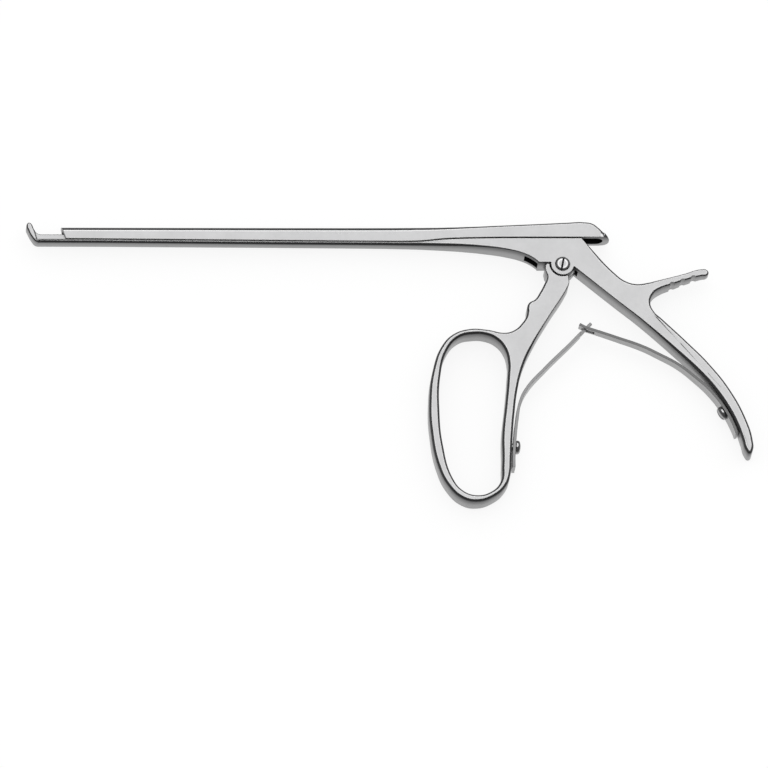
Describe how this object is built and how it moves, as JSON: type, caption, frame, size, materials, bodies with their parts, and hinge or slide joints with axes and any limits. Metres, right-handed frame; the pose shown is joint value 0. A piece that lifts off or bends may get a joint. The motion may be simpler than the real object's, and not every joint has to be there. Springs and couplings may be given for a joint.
{
  "type": "laminectomy punch",
  "caption": "Long-shafted bone punch with a sliding upper bar over an upturned footplate, a finger ring handle, a fixed rear handle with a thumb prong, and two crossed leaf springs.",
  "frame": {"origin": "centre of the pivot screw's flush end, on the plane that the punch lies on", "axes": "+X from the biting tip towards the handles, +Y from the finger ring towards the slide, +Z out of the upper broad side along the pivot axis"},
  "size_m": [0.2804, 0.1174, 0.0098],
  "materials": {
    "satin_steel": "satin",
    "slide_steel": "satin",
    "ring_steel": "satin",
    "polished_steel": "polished",
    "spring_steel": "satin",
    "rear_spring_steel": "satin",
    "pin_steel": "polished",
    "rear_pin_steel": "polished"
  },
  "bodies": {
    "frame_body": {"frame": "satin_steel", "pivot_screw": "polished_steel", "rear_spring_screw": "rear_pin_steel"},
    "handle_body": {"ring_handle": "ring_steel", "front_spring_screw": "pin_steel"},
    "slide_body": {"slide": "slide_steel"},
    "front_spring_body": {"front_spring": "spring_steel"},
    "rear_spring_body": {"rear_spring": "rear_spring_steel"}
  },
  "joints": [
    {"name": "handle_pivot", "type": "hinge", "parent": "frame_body", "child": "handle_body", "pos_m": [0, 0, 0.0045], "axis": [0, 0, 1], "range_deg": [0, 42.3], "stiffness_Nm_per_rad": 0.5, "springref_deg": -17.19},
    {"name": "slide_travel", "type": "slide", "parent": "frame_body", "child": "slide_body", "axis": [-1, 0, 0], "range_m": [0, 0.0107]},
    {"name": "front_spring_flex", "type": "hinge", "parent": "handle_body", "child": "front_spring_body", "pos_m": [-0.02105, -0.075, 0.0045], "axis": [0, 0, 1], "range_deg": [0, 7.8], "deforming": ["front_spring"]},
    {"name": "rear_spring_flex", "type": "hinge", "parent": "frame_body", "child": "rear_spring_body", "pos_m": [0.0614, -0.0604, 0.0045], "axis": [0, 0, 1], "range_deg": [-11.3, 0], "deforming": ["rear_spring"]}
  ],
  "couplings": [
    {"joint": "slide_travel", "follows": "handle_pivot", "m_per_rad": 0.014445},
    {"joint": "front_spring_flex", "follows": "handle_pivot", "ratio": 0.183},
    {"joint": "rear_spring_flex", "follows": "handle_pivot", "ratio": -0.265}
  ]
}
